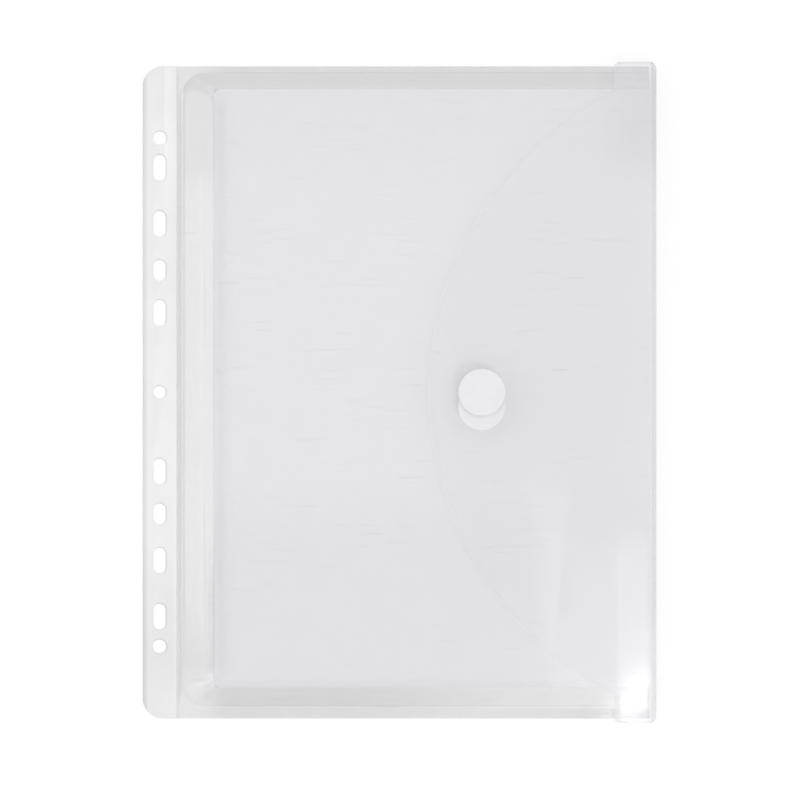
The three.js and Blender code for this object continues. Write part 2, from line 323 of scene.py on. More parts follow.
@dataclass(frozen=True)
class StripPlastic:
    """The thicker binding strip: milky, finely grained, with painted shade along its outer edge and towards
    its ends.
    """

    name: str = "strip_plastic"
    milk: Colour = (0.915, 0.915, 0.92)
    band: Colour = (0.945, 0.945, 0.95)
    # the colour of the painted shade
    dark: Colour = (0.30, 0.30, 0.315)
    band_x: Pair = (-0.1117, -0.1108)  # each pair of places is where a change begins and ends
    band_y: Pair = (0.08, 0.115)
    edge_x: Pair = (-0.1187, -0.1212)
    low_y: Pair = (-0.06, -0.105)
    top_y: Pair = (0.118, 0.135)
    shades: Point = (0.27, 0.11, 0.055)  # painted shade at the outer edge, the lower and the upper end
    cloud_scale: float = 45
    grain_scale: float = 2600
    grain: float = 0.00004

    def material(self) -> Material:
        """Builds the finish.

        Returns:
            The material.
        """
        r = Recipe(self.name)
        place = r.node("ShaderNodeSeparateXYZ", Vector=r.place)
        x, y = r.value(place, "X"), r.value(place, "Y")
        band = r.ramp(x, *self.band_x) * r.ramp(y, *self.band_y)
        cloud = r.ramp(r.noise(self.cloud_scale, 2), 0.35, 0.65)
        grain = r.noise(self.grain_scale, 2.0)
        shaded = r.shade()
        for shade, line, span in zip(self.shades, (x, y, y), (self.edge_x, self.low_y, self.top_y)):
            shaded = shaded + shade * r.ramp(line, *span)
        milk = r.mix((0.75 * band + 0.25 * cloud).clamped(), self.milk, self.band)
        r.set(
            Base_Color=r.mix(shaded.clamped(), milk, self.dark),
            Roughness=0.32 + 0.10 * grain,
            Alpha=(0.90 + 0.04 * band + 0.03 * cloud).clamped(),
            IOR=1.49,
            Normal=r.bump(grain, self.grain),
        )
        return r.material


@dataclass(frozen=True)
class LoopPile:
    """The brushed loop side of the fastener: matt, white, slightly clouded."""

    name: str = "loop_pile"
    light: Colour = (0.985, 0.985, 0.985)
    shade: Colour = (0.93, 0.93, 0.94)
    tuft_scale: float = 900
    fibre_scale: float = 2400
    fibre: float = 0.00015

    def material(self) -> Material:
        """Builds the finish.

        Returns:
            The material.
        """
        r = Recipe(self.name)
        tuft = r.noise(self.tuft_scale, 3)
        r.set(
            Base_Color=r.mix(r.ramp(tuft, 0.3, 0.7), self.shade, self.light),
            Roughness=0.95,
            Sheen_Weight=0.3,
            Sheen_Roughness=0.6,
            Normal=r.bump(r.noise(self.fibre_scale, 2), self.fibre),
        )
        return r.material


@dataclass(frozen=True)
class HookWeave:
    """The hook side: a tightly woven base with moulded plastic hooks."""

    name: str = "hook_plastic"
    light: Colour = (0.955, 0.955, 0.96)
    shade: Colour = (0.84, 0.84, 0.85)
    thread: float = 0.00022
    weave: float = 0.00005

    def material(self) -> Material:
        """Builds the finish.

        Returns:
            The material.
        """
        r = Recipe(self.name)
        place = r.node("ShaderNodeSeparateXYZ", Vector=r.place)
        warp = r.value(place, "X").folded(self.thread)
        weft = r.value(place, "Y").folded(self.thread)
        weave = (warp + weft) * (0.5 / self.thread)
        r.set(
            Base_Color=r.mix(r.ramp(weave, 0.2, 0.9), self.shade, self.light),
            Roughness=0.55,
            IOR=1.53,
            Normal=r.bump(weave, self.weave),
        )
        return r.material


@dataclass(frozen=True)
class AdhesiveFilm:
    """The thin disc of adhesive behind each coin: hazy, with small trapped bubbles."""

    name: str = "adhesive_film"
    tint: Colour = (0.97, 0.97, 0.98)
    bubble_tint: Colour = (0.95, 0.95, 0.95)
    bubble_scale: float = 700.0
    bubble: float = 0.00003

    def material(self) -> Material:
        """Builds the finish.

        Returns:
            The material.
        """
        r = Recipe(self.name)
        cells = r.node("ShaderNodeTexVoronoi", Vector=r.place, Scale=self.bubble_scale)
        bubble = r.ramp(r.value(cells, "Distance"), 0.22, 0.12)
        r.set(
            Base_Color=r.mix(bubble, self.tint, self.bubble_tint),
            Roughness=0.3,
            Alpha=(0.06 + 0.10 * bubble).clamped(),
            IOR=1.46,
            Normal=r.bump(bubble, self.bubble),
        )
        return r.material


class Piece:
    """A mesh object, and the modelling steps that Blender's own operators do to it."""

    def __init__(self, name: str, obj: bpy.types.Object) -> None:
        """Names an object and moves its place, turn and scale into its mesh.

        Args:
            name: the piece's name.
            obj: the object.
        """
        self.obj = obj
        obj.name = obj.data.name = name
        self.pick()
        bpy.ops.object.transform_apply(location=True, rotation=True, scale=True)

    @classmethod
    def grid(cls, name: str, low: Point, high: Pair, across: int, along: int) -> Piece:
        """A flat grid between two corners.

        Args:
            name: its name.
            low: its lowest corner.
            high: X and Y of its highest corner.
            across: faces along X.
            along: faces along Y.

        Returns:
            The new piece.
        """
        middle = ((low[0] + high[0]) / 2, (low[1] + high[1]) / 2, low[2])
        bpy.ops.mesh.primitive_grid_add(x_subdivisions=across, y_subdivisions=along, size=1, location=middle)
        bpy.context.object.scale = (high[0] - low[0], high[1] - low[1], 1)
        return cls(name, bpy.context.object)

    @classmethod
    def copy_of(cls, name: str, node: bpy.types.Object) -> Piece:
        """A merged copy of a CAD node, as a start for a finer piece.

        Args:
            name: its name.
            node: the CAD node.

        Returns:
            The new piece.
        """
        obj = bpy.data.objects.new(name, node.data.copy())
        bpy.context.scene.collection.objects.link(obj)
        made = cls(name, obj)
        made.edit(lambda: bpy.ops.mesh.remove_doubles(threshold=0.005 * MM),
                  lambda: bpy.ops.mesh.dissolve_limited(angle_limit=math.radians(1)))
        return made

    def pick(self, *others: Piece) -> None:
        """Selects only this piece and others, with this one active.

        Args:
            others: the others.
        """
        for obj in bpy.context.selected_objects:
            obj.select_set(False)
        for piece in (self, *others):
            piece.obj.select_set(True)
        bpy.context.view_layer.objects.active = self.obj

    def shape(self, move: Callable[[Vector], Vector]) -> None:
        """Moves every vertex by a rule.

        Args:
            move: the rule, from a place to its new place.
        """
        for vertex in self.obj.data.vertices:
            vertex.co = move(vertex.co.copy())
        self.obj.data.update()

    def edit(self, *steps: Callable[[], object]) -> None:
        """Runs steps in edit mode, with everything selected.

        Args:
            steps: the steps, in order.
        """
        self.pick()
        bpy.ops.object.mode_set(mode="EDIT")
        bpy.ops.mesh.select_all(action="SELECT")
        for step in steps:
            step()
        bpy.ops.object.mode_set(mode="OBJECT")

    def apply(self, kind: str, **settings: object) -> None:
        """Adds a modifier and applies it.

        Args:
            kind: the modifier's type.
            settings: its properties.
        """
        self.pick()
        modifier = self.obj.modifiers.new(kind.lower(), kind)
        for key, value in settings.items():
            setattr(modifier, key, value)
        bpy.ops.object.modifier_apply(modifier=modifier.name)

    def bevel(self, width: float) -> None:
        """Softens the sharp edges."""
        self.apply("BEVEL", width=width, segments=2, limit_method="ANGLE", angle_limit=math.radians(50))

    def thicken(self, thickness: float) -> None:
        """Gives a middle surface its wall, half to each side."""
        self.apply("SOLIDIFY", thickness=thickness, offset=0.0, use_even_offset=True)

    def mark(self, amount: Callable[[Vector], float]) -> None:
        """Writes every vertex's painted shade, as a rule gives it for the vertex's place."""
        layer = self.obj.data.attributes.new(PAINTED_SHADE, "FLOAT", "POINT")
        layer.data.foreach_set("value", [amount(vertex.co) for vertex in self.obj.data.vertices])

    def smooth(self, degrees: float) -> None:
        """Shades smoothly over edges below an angle."""
        self.pick()
        bpy.ops.object.shade_smooth_by_angle(angle=math.radians(degrees))

    def finish(self, body: Body, slot: Slot, material: Material, node: str = "", ride: bool = True) -> None:
        """Dresses the piece and fixes it to its body.

        Args:
            body: the body it moves with.
            slot: the material slot; not used.
            material: its finish.
            node: the CAD node it replaces, if it does.
            ride: false to leave the piece unattached to its body.
        """
        self.obj.data.materials.clear()
        self.obj.data.materials.append(material)
        if node:
            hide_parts(node)
        if ride:
            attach(self.obj, body.value)
        LOG.info("%s on %s: %d faces", self.obj.name, body.value, len(self.obj.data.polygons))


def fillet(corner: Pair, before: Pair, after: Pair, radius: float, steps: int) -> list[Pair]:
    """Rounds a left turn of a section.

    Args:
        corner: the sharp corner.
        before: the unit direction that arrives at it.
        after: the unit direction that leaves it.
        radius: of the round.
        steps: straight steps in the round.

    Returns:
        The points of the round, in order.
    """
    turn = math.acos(before[0] * after[0] + before[1] * after[1])
    run = radius * math.tan(turn / 2)
    start = (corner[0] - before[0] * run, corner[1] - before[1] * run)
    centre = (start[0] - before[1] * radius, start[1] + before[0] * radius)
    heading = math.atan2(start[1] - centre[1], start[0] - centre[0])
    angles = [heading + turn * k / steps for k in range(steps + 1)]
    return [(centre[0] + radius * math.cos(a), centre[1] + radius * math.sin(a)) for a in angles]


def smoothstep(low: float, high: float, x: float) -> float:
    """0 at low, 1 at high, eased between."""
    t = min(max((x - low) / (high - low), 0.0), 1.0)
    return t * t * (3 - 2 * t)


def bell(x: float, middle: float, width: float) -> float:
    """A bell of height 1."""
    return math.exp(-(((x - middle) / width) ** 2))


@dataclass
class BindingStrip:
    """The punched strip: softened edges, and a fine raised rim round each hole."""

    plastic: StripPlastic = StripPlastic()
    edge_round: float = 0.07 * MM
    top: float = 0.64 * MM
    holes_x: float = -113.7 * MM
    rim_width: float = 0.55 * MM
    rim_height: float = 0.1 * MM
    around: int = 48
    tube: float = 0.25  # the tube's radius on a ring of radius 1
    holes: tuple[Point, ...] = (  # distance from the middle, width and length, in millimetres
        (120.0, 6.5, 6.5), (106.0, 6.0, 12.3), (79.5, 6.0, 12.3), (57.5, 6.0, 10.0), (37.5, 6.0, 12.3),
    )
    centre_hole: float = 6.0 * MM
    # how dark the painted shade on each rim's upper right side is
    rim_tone: float = -0.26
    rim_turn: float = 0.75  # where round the hole its shade is, in radians from +X
    rim_reach: Pair = (-0.3, 0.8)  # cosines between which the shade fades in

    def rim(self, middle: float, width: float, length: float) -> Piece:
        """The raised rim of one hole.

        Args:
            middle: the hole's Y.
            width: across X.
            length: along Y.

        Returns:
            A closed ring.
        """
        half = self.rim_width / 2
        bpy.ops.mesh.primitive_torus_add(major_segments=self.around, minor_segments=8, major_radius=1.0,
                                         minor_radius=self.tube)
        ring = Piece("rim", bpy.context.object)
        radius = width / 2 + half + self.edge_round
        reach = (length - width) / 2

        def place(co: Vector) -> Vector:
            """Carries a point of the plain ring to the hole's edge."""
            angle = math.atan2(co.y, co.x)
            out = radius + (co.xy.length - 1.0) / self.tube * half
            x = self.holes_x + out * math.cos(angle)
            y = out * math.sin(angle) + math.copysign(reach, math.sin(angle))
            return Vector((x, middle + y, self.top + co.z / self.tube * self.rim_height))

        def tone(co: Vector) -> float:
            """Painted shade on the hole's upper right side."""
            rise = co.y - middle
            turn = math.atan2(rise - math.copysign(min(abs(rise), reach), rise), co.x - self.holes_x)
            return self.rim_tone * smoothstep(*self.rim_reach, math.cos(turn - self.rim_turn))

        ring.shape(place)
        ring.mark(tone)
        return ring

    def build(self, nodes: Nodes) -> None:
        """Builds the strip from the CAD node's outline, and its rims.

        Args:
            nodes: the CAD nodes by name.
        """
        material = self.plastic.material()
        strip = Piece.copy_of("binding_strip_moulded", nodes["binding_strip"])
        strip.bevel(self.edge_round)
        strip.smooth(40)
        strip.finish(Body.BACK, Slot.STRIP, material, "binding_strip")
        rims = []
        for middle, width, length in self.holes:
            for side in (1, -1):
                rims.append(self.rim(side * middle * MM, width * MM, length * MM))
        rims.append(self.rim(0.0, self.centre_hole, self.centre_hole))
        rims[0].pick(*rims[1:])
        bpy.ops.object.join()
        rims[0].obj.name = "hole_rims"
        rims[0].smooth(80)
        rims[0].finish(Body.BACK, Slot.STRIP, material)


@dataclass
class Pocket:
    """The pocket: back panel, welded margin, gusset walls and front panel."""

    sheet: ClearSheet = ClearSheet()
    cover: ClearSheet = ClearSheet(name="clear_sheet_front", tint=(0.655, 0.63, 0.745))
    thickness: float = 0.2 * MM
    mouth: float = 117.6 * MM
    back_end: float = 119.0 * MM
    margin: Sides = (-107.2 * MM, -154.0 * MM, 154.0 * MM)
    foot: Sides = (-103.3 * MM, -148.0 * MM, 151.0 * MM)
    crest: Sides = (-87.2 * MM, -138.6 * MM, 142.5 * MM)
    margin_corner: float = 2 * MM
    foot_corner: float = 12 * MM
    crest_corner: float = 3 * MM
    weld_z: float = 0.32 * MM
    foot_z: float = 0.34 * MM
    crest_z: float = 8.3 * MM
    anchor_z: float = 0.22 * MM
    drop: float = 7.4 * MM
    coin: Pair = (38.4 * MM, -6.8 * MM)
    columns: int = 240
    runs: tuple[tuple[float, float, str], ...] = (
        (0.0, 0.25, "top"), (0.25, 0.375, "top corner"), (0.375, 0.625, "left"),
        (0.625, 0.75, "low corner"), (0.75, 1.0, "bottom"),
    )
    section: tuple[Pair, ...] = (
        (0.0, 0.0), (0.03, 0.03), (0.08, 0.14), (0.13, 0.22), (0.2, 0.3), (0.32, 0.43), (0.46, 0.57),
        (0.58, 0.68), (0.66, 0.75), (0.72, 0.79), (0.8, 0.85), (0.88, 0.91), (0.94, 0.96),
        (0.98, 0.992), (1.0, 1.0),
    )
    welds: tuple[float, ...] = (0, 0.12, 0.25, 0.38, 0.5, 0.62, 0.74, 0.86, 1.0)
    # where the painted shade along the pressed groove lies, and its width
    groove_shade_x: float = -104.0 * MM
    groove_shade_width: float = 0.7 * MM
    groove_depth: float = 0.06 * MM
    pleat: float = 0.5 * MM
    wander: float = 0.35 * MM
    sag: float = 0.2 * MM
    wave: float = 0.14 * MM
    high_y: Pair = (88 * MM, 112 * MM)  # where the painted shade on the left wall grows, upwards
    deep_y: Pair = (-60 * MM, -95 * MM)  # and downwards
    lit_x: Pair = (-30 * MM, 85 * MM)  # where the painted shade on the lower wall fades, towards the lit corner
    hem_x: Pair = (30 * MM, 105 * MM)  # where painted shade darkens the lower hem
    hem_y: Pair = (-148.5 * MM, -151 * MM)

    def outline(self, sides: Sides, r: float, t: float) -> Pair:
        """One point of a line that runs round the pocket's three closed sides.

        Args:
            sides: the line's left, bottom and top.
            r: its corner radius.
            t: 0 at the mouth's upper end, 1 at its lower end.

        Returns:
            X and Y.
        """
        left, low, high = sides
        for start, end, kind in self.runs:
            if t <= end:
                break
        u = (t - start) / (end - start)
        if kind == "top":
            return self.mouth + (left + r - self.mouth) * u, high
        if kind == "bottom":
            return left + r + (self.mouth - left - r) * u, low
        if kind == "left":
            return left, high - r + (low + r - high + r) * u
        turn = math.pi / 2 * (1 + u + (kind == "low corner"))
        middle = low + r if kind == "low corner" else high - r
        return left + r + r * math.cos(turn), middle + r * math.sin(turn)

    def band(self, name: str, outer: Sides, inner: Sides, radii: Pair, shares: Sequence[float],
             height: Callable[[float], float]) -> Piece:
        """A surface between two lines that run round the pocket.

        Args:
            name: its name.
            outer: the outer line's left, bottom and top.
            inner: the inner line's.
            radii: their corner radii.
            shares: where its rows lie, from 0 at the outer line to 1 at the inner one.
            height: a row's Z.

        Returns:
            The surface, facing up.
        """
        last = len(shares) - 1

        def place(co: Vector) -> Vector:
            """Carries a point of a unit square to the band."""
            s = shares[round(co.y * last)]
            sides = tuple(a + (b - a) * s for a, b in zip(outer, inner))
            return Vector((*self.outline(sides, radii[0] + (radii[1] - radii[0]) * s, co.x), height(s)))

        made = Piece.grid(name, (0, 0, 0), (1, 1), self.columns, last)
        made.shape(place)
        made.edit(lambda: bpy.ops.mesh.normals_make_consistent(inside=False))
        return made

    def shares(self, co: Vector) -> Pair:
        """How far a point lies across the long wall, and across the nearer short wall.

        Args:
            co: the point.

        Returns:
            Two shares: 0 at the weld, 1 at the front panel.
        """
        long = (co.x - self.foot[0]) / (self.crest[0] - self.foot[0])
        short = min((co.y - self.foot[1]) / (self.crest[1] - self.foot[1]),
                    (self.foot[2] - co.y) / (self.foot[2] - self.crest[2]))
        return long, short

    def across(self, co: Vector) -> float:
        """How far a point lies across the gusset's width: 0 at the weld, 1 at the front panel."""
        return min(max(min(self.shares(co)), 0.0), 1.0)

    def corner_turn(self, co: Vector) -> float:
        """How far round a left corner a point lies.

        Args:
            co: the point.

        Returns:
            0 to 1 in the upper and the lower corner, and 0 outside them.
        """
        for edge, sign in ((self.foot[2], 1), (self.foot[1], -1)):
            centre = Vector((self.foot[0] + self.foot_corner * 1.5, edge - sign * self.foot_corner * 1.1, 0))
            away = co - centre
            if away.x < 0 and away.y * sign > 0:
                return math.atan2(-away.x, away.y * sign) / (math.pi / 2)
        return 0.0

    def upper(self, co: Vector) -> float:
        """1 over the upper wall and margin, fading out towards the strip: where their painted shade lies."""
        rise = smoothstep(self.crest[2] - 2 * MM, self.crest[2] + 2 * MM, co.y)
        return rise * smoothstep(-103 * MM, -78 * MM, co.x)

    def lower(self, co: Vector) -> float:
        """1 over the lower wall and margin, fading out towards the strip and the lit corner: where their
        painted shade lies.
        """
        fall = smoothstep(self.crest[1] + 1 * MM, self.crest[1] - 1 * MM, co.y)
        return fall * smoothstep(-96 * MM, -82 * MM, co.x) * (1 - 0.92 * smoothstep(*self.lit_x, co.x))

    def gusset(self) -> None:
        """The gusset walls, gathered in small folds at the two corners."""
        rows = list(self.section)
        rows += [((a + c) / 2, (b + d) / 2) for (a, b), (c, d) in zip(rows, rows[1:])]
        heights = dict(sorted(rows))
        rise = self.crest_z - self.foot_z
        walls = self.band("gusset_walls", self.foot, self.crest, (self.foot_corner, self.crest_corner),
                          list(heights), lambda s: self.foot_z + rise * heights[s])
        walls.shape(self.gather)
        walls.thicken(self.thickness)
        walls.mark(self.gusset_tone)
        walls.smooth(60)
        walls.finish(Body.BACK, Slot.SHEET, self.sheet.material(), "gusset")
        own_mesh(walls.obj)

    def gather(self, co: Vector) -> Vector:
        """Straightens the short walls and gathers the corners in small folds.

        Args:
            co: a point of the plain walls.

        Returns:
            Its new place.
        """
        s = self.across(co)
        long, short = self.shares(co)
        plain = self.foot_z + (self.crest_z - self.foot_z) * (0.5 * s + 0.5 * smoothstep(0, 1, s))
        co.z += (plain - co.z) * smoothstep(-0.6, 0.6, long - short)
        turn = self.corner_turn(co)
        fold = math.sin(turn * math.pi * 6) * math.sin(turn * math.pi)
        wander = noise.noise(co * 26) * self.wander
        co.z += (self.pleat * fold + wander) * 6.75 * s * s * (1 - s)
        return co

    def gusset_tone(self, co: Vector) -> float:
        """Painted shade: a clear ridge between duller flanks, darker at the foot, the crest, the lower
        corner folds and the two short walls.

        Args:
            co: a point of the gusset.

        Returns:
            Its painted shade.
        """
        s = self.across(co)
        rise = smoothstep(self.crest[1] - 2 * MM, self.crest[1] + 12 * MM, co.y)
        side = rise * smoothstep(self.crest[2] + 2 * MM, self.crest[2] - 12 * MM, co.y)
        # painted shade on the upper and lower walls and margins
        walls = -0.27 * self.upper(co) - 0.36 * self.lower(co)
        high = smoothstep(*self.high_y, co.y)
        deep = smoothstep(*self.deep_y, co.y)
        ridge = bell(s, 0.66, 0.12) * (1 - high)
        broad_shade = -(0.05 + 0.05 * deep + (0.08 + 0.14 * high) * (1 - ridge)) * rise * smoothstep(0.02, 0.1, s)
        broad_shade *= 1 - self.upper(co)
        foot = -0.1 * bell(s, 0.03, 0.05) * side
        mitre = -0.14 * bell(self.corner_turn(co), 0.4, 0.16) * 4 * s * (1 - s) if co.y < 0 else 0.0
        bend = (0.12 + 0.1 * deep) * bell(s, 0.97, 0.06 + 0.06 * deep) * side
        return broad_shade + foot + walls + mitre - bend

    def weld(self) -> None:
        """The margin where the gusset's foot is welded to the back panel, with a pressed groove."""
        inner = (self.foot[0] + 0.1 * MM, self.foot[1] + 0.1 * MM, self.foot[2] - 0.1 * MM)
        margin = self.band("weld_margin", self.margin, inner, (self.margin_corner, self.foot_corner),
                           self.welds, lambda s: self.weld_z - self.groove_depth * bell(s, 0.62, 0.2))
        margin.thicken(self.thickness - 0.02 * MM)
        margin.mark(self.weld_tone)
        margin.smooth(40)
        margin.finish(Body.BACK, Slot.SHEET, self.sheet.material(), "weld_rim")

    def weld_tone(self, co: Vector) -> float:
        """Painted shade: a dark line along the pressed groove beside the strip, and darker margins above and
        below and at the lower hem.

        Args:
            co: a point of the margin.

        Returns:
            Its painted shade.
        """
        groove = bell(co.x, self.groove_shade_x, self.groove_shade_width)
        groove *= smoothstep(148 * MM, 138 * MM, abs(co.y + 2 * MM))
        hem = smoothstep(*self.hem_x, co.x) * smoothstep(*self.hem_y, co.y)
        return -0.36 * groove - 0.24 * self.upper(co) - 0.23 * self.lower(co) - 0.35 * hem

    def front_panel(self) -> None:
        """The front panel: soft waves that die out at its edges and under the loop coin."""
        left, low, high = self.crest
        panel = Piece.grid("front_panel_sheet", (left, low, self.crest_z), (self.mouth, high), 64, 84)
        panel.shape(self.panel_wave)
        panel.thicken(self.thickness)
        panel.mark(self.panel_tone)
        panel.smooth(40)
        panel.finish(Body.FRONT, Slot.SHEET, self.cover.material(), "front_panel")

    def panel_wave(self, co: Vector) -> Vector:
        """Lowers a point of the flat front panel into its waves.

        Args:
            co: the point.

        Returns:
            Its new place.
        """
        left, low, high = self.crest
        edge = min(co.x - left, self.mouth - co.x, co.y - low, high - co.y)
        calm = smoothstep(0, 30 * MM, edge)
        calm *= smoothstep(14 * MM, 40 * MM, (co.xy - Vector(self.coin)).length)
        co.z -= calm * (self.sag + self.wave * noise.noise(Vector((co.x * 16, co.y * 9, 0.3))))
        return co

    def panel_tone(self, co: Vector) -> float:
        """Painted shade: dark at the bend of the left and of the lower edge, and duller towards the ends.

        Args:
            co: a point of the front panel.

        Returns:
            Its painted shade.
        """
        left, low, high = self.crest
        ends = smoothstep(low - 2 * MM, low + 16 * MM, co.y)
        ends *= smoothstep(high + 2 * MM, high - 10 * MM, co.y)
        bend_shade = 0.22 * bell(co.x - left, 2.4 * MM, 3.6 * MM) * ends + 0.14 * bell(co.y - low, 0, 2 * MM)
        broad_shade = 0.09 * smoothstep(-35 * MM, -75 * MM, co.y) + 0.05 * smoothstep(90 * MM, 130 * MM, co.y)
        return -bend_shade - broad_shade

    def build(self, nodes: Nodes) -> None:
        """Builds the pocket's sheets. The back panel ends where the sheet turns up into the spine.

        Args:
            nodes: the CAD nodes by name.
        """
        back = Piece.copy_of("back_panel_sheet", nodes["back_panel"])
        back.edit(lambda: bpy.ops.mesh.bisect(plane_co=(self.back_end, 0, 0), plane_no=(1, 0, 0),
                                              clear_outer=True, use_fill=True))
        back.finish(Body.BACK, Slot.SHEET, self.sheet.material(), "back_panel")
        self.weld()
        self.gusset()
        self.front_panel()


@dataclass
class FlapClosure:
    """The spine between its two folds, and the curved flap that lies over the pocket."""

    # painted lighter than the pocket's sheet, with a lighter shadow, so that the flap doesn't darken the
    # pocket under it
    sheet: ClearSheet = ClearSheet(name="clear_sheet_flap", tint=(0.94, 0.92, 1.0), opacity=0.05,
                                   facing=0.038, through=0.75, wave=0.0001)
    thickness: float = 0.2 * MM
    low_corner: Pair = (121.35 * MM, 0.1 * MM)
    high_corner: Pair = (117.86 * MM, 10.98 * MM)
    low_bend: float = 0.9 * MM
    high_bend: float = 1.5 * MM
    overlap: float = 0.9 * MM
    spine_rows: int = 6
    back_end: float = 119.0 * MM
    flap_end: float = 115.8 * MM
    back_half: float = 154.0 * MM
    half: float = 155.0 * MM
    end_corner: float = 3.5 * MM
    root_corner: float = 2 * MM
    root: float = 100.3 * MM
    radius: float = 160.0 * MM
    tip: float = 13.1 * MM
    coin_z: float = 10.98 * MM
    rest_z: float = 8.78 * MM
    rows: int = 220
    columns: int = 72
    fold_x: Pair = (74 * MM, 104 * MM)  # where the flap rises to the fold
    bulge_at: Pair = (38.4 * MM, -2.5 * MM)  # it also stays up over the coins
    bulge_from: float = 12.5 * MM
    bulge_to: float = 64 * MM
    bulge_pull: float = 83 * MM  # how much further it stays up in the pull's direction
    pull: Pair = (0.57, -0.82)
    ripple: float = 0.07 * MM
    lit_y: Pair = (-95 * MM, -125 * MM)  # where the light from the lower right takes the shade away
    upright_x: Pair = (116 * MM, 119.5 * MM)
    corner_x: Pair = (85 * MM, 114 * MM)  # the upper right corner is shaded
    corner_y: Pair = (85 * MM, 125 * MM)
    band_y: Pair = (141 * MM, 145 * MM)
    ends_y: Pair = (1.9 * MM, 1.0 * MM)  # where the painted shade at each end begins and ends, from the end

    def half_length(self, x: float, z: float) -> float:
        """Half of the sheet's length along Y, with round corners in plan, where it passes a point.

        Args:
            x: the point's X.
            z: its Z.

        Returns:
            Half of the length.
        """
        half = self.back_half + (self.half - self.back_half) * smoothstep(0.1 * MM, 1.5 * MM, z)
        over = max(0.0, x - (self.low_corner[0] - self.end_corner)) / self.end_corner
        return half - self.end_corner + self.end_corner * math.sqrt(max(0.0, 1 - min(over, 1.0) ** 2))

    def strip(self, name: str, section: Sequence[Pair]) -> Piece:
        """A bent strip of sheet.

        Args:
            name: its name.
            section: X and Z of its middle, in order.

        Returns:
            The closed strip.
        """
        last = len(section) - 1

        def place(co: Vector) -> Vector:
            """Carries a point of the plain grid to the bent strip."""
            x, z = section[round(co.x * last)]
            return Vector((x, co.y * self.half_length(x, z), z))

        made = Piece.grid(name, (0, -1, 0), (1, 1), last, self.rows)
        made.shape(place)
        made.thicken(self.thickness)
        made.mark(self.tone)
        made.smooth(60)
        return made

    def tone(self, co: Vector) -> float:
        """Painted shade: a dark upright spine, lighter at the lit lower corner, and a shaded upper corner
        and ends.

        Args:
            co: a point of the flap or its folds.

        Returns:
            Its painted shade.
        """
        lit = smoothstep(*self.lit_y, co.y)
        ends = smoothstep(self.half - self.ends_y[0], self.half - self.ends_y[1], abs(co.y))
        upright = smoothstep(*self.upright_x, co.x) * (1 - 0.8 * lit)
        corner = smoothstep(*self.corner_y, co.y) * smoothstep(*self.corner_x, co.x)
        band = smoothstep(*self.band_y, co.y)
        corner *= (1 - 0.62 * band) * (1 - 0.4 * upright)
        return -0.2 * upright - 0.26 * corner - (0.06 + 0.08 * upright) * band - 0.45 * ends

    def folds(self) -> None:
        """The lower fold, the spine and the upper fold."""
        run = (self.high_corner[0] - self.low_corner[0], self.high_corner[1] - self.low_corner[1])
        length = math.hypot(*run)
        up = (run[0] / length, run[1] / length)
        low = fillet(self.low_corner, (1, 0), up, self.low_bend, 14)
        high = fillet(self.high_corner, up, (-1, 0), self.high_bend, 12)
        low_end = (low[-1][0] + up[0] * self.overlap, low[-1][1] + up[1] * self.overlap)
        high_start = (high[0][0] - up[0] * self.overlap, high[0][1] - up[1] * self.overlap)
        rise = (high_start[0] - low_end[0], high_start[1] - low_end[1])
        steps = [(rise[0] * k / self.spine_rows, rise[1] * k / self.spine_rows)
                 for k in range(self.spine_rows + 1)]
        lower = [(self.back_end, self.low_corner[1]), *low, low_end]
        middle = [(low_end[0] + x, low_end[1] + z) for x, z in steps]
        upper = [high_start, *high, (self.flap_end, self.high_corner[1])]
        material = self.sheet.material()
        for name, section, body, onto, (x0, z0), (x1, z1) in (
            ("lower_fold", lower, Body.BACK, Body.SPINE, low[0], low_end),
            ("spine_sheet", middle, Body.SPINE, None, low_end, high_start),
            ("upper_fold", upper, Body.SPINE, Body.FLAP, high_start, high[-1]),
        ):
            piece = self.strip(name, section)
            if onto:
                piece.finish(body, Slot.SHEET, material, ride=False)
                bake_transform(piece.obj)
            else:
                piece.finish(body, Slot.SHEET, material, "flap_spine")

    def edge(self, y: float) -> float:
        """The flap's free edge.

        Args:
            y: a Y.

        Returns:
            The edge's X there.
        """
        centre = self.tip + self.radius
        meet = math.sqrt(self.radius**2 - (centre - self.root) ** 2)
        if abs(y) < meet:
            return centre - math.sqrt(self.radius**2 - y * y)
        corner = self.root_corner
        over = abs(y) - (self.half - corner)
        return self.root if over <= 0 else self.root + corner - math.sqrt(max(corner**2 - over**2, 0))

    def height(self, x: float, y: float) -> float:
        """The flap's middle surface: down from the fold, low over the panel, up over the coins.

        Args:
            x: an X.
            y: a Y.

        Returns:
            The surface's Z there.
        """
        fold = smoothstep(*self.fold_x, x)
        run = (x - self.bulge_at[0], y - self.bulge_at[1])
        away = math.hypot(*run)
        taut = max(0.0, self.pull[0] * run[0] + self.pull[1] * run[1]) / max(away, MM)
        bulge = 1 - smoothstep(self.bulge_from, self.bulge_to + self.bulge_pull * taut**2, away)
        low = (1 - fold) * (1 - bulge)
        ripple = self.ripple * noise.noise(Vector((x * 20, y * 12, 4.1))) * low
        return self.rest_z + (self.coin_z - self.rest_z) * (1 - low) + ripple

    def flap(self) -> None:
        """The flap as one thin curved sheet."""

        def place(co: Vector) -> Vector:
            """Carries a point of the plain grid to the flap, with finer faces by its free edge."""
            left = self.edge(co.y)
            x = left + (self.flap_end - left) * co.x**1.4
            return Vector((x, co.y, self.height(x, co.y)))

        flap = Piece.grid("flap_sheet", (0, -self.half, 0), (1, self.half), self.columns, self.rows)
        flap.shape(place)
        flap.thicken(self.thickness)
        # painted shade along the free edge
        flap.mark(lambda co: self.tone(co) - 0.1 * bell(co.x - self.edge(co.y), 1.2 * MM, 2.2 * MM))
        flap.smooth(60)
        flap.finish(Body.FLAP, Slot.SHEET, self.sheet.material(), "flap")

    def build(self) -> None:
        """Builds the folds and the flap."""
        self.folds()
        self.flap()


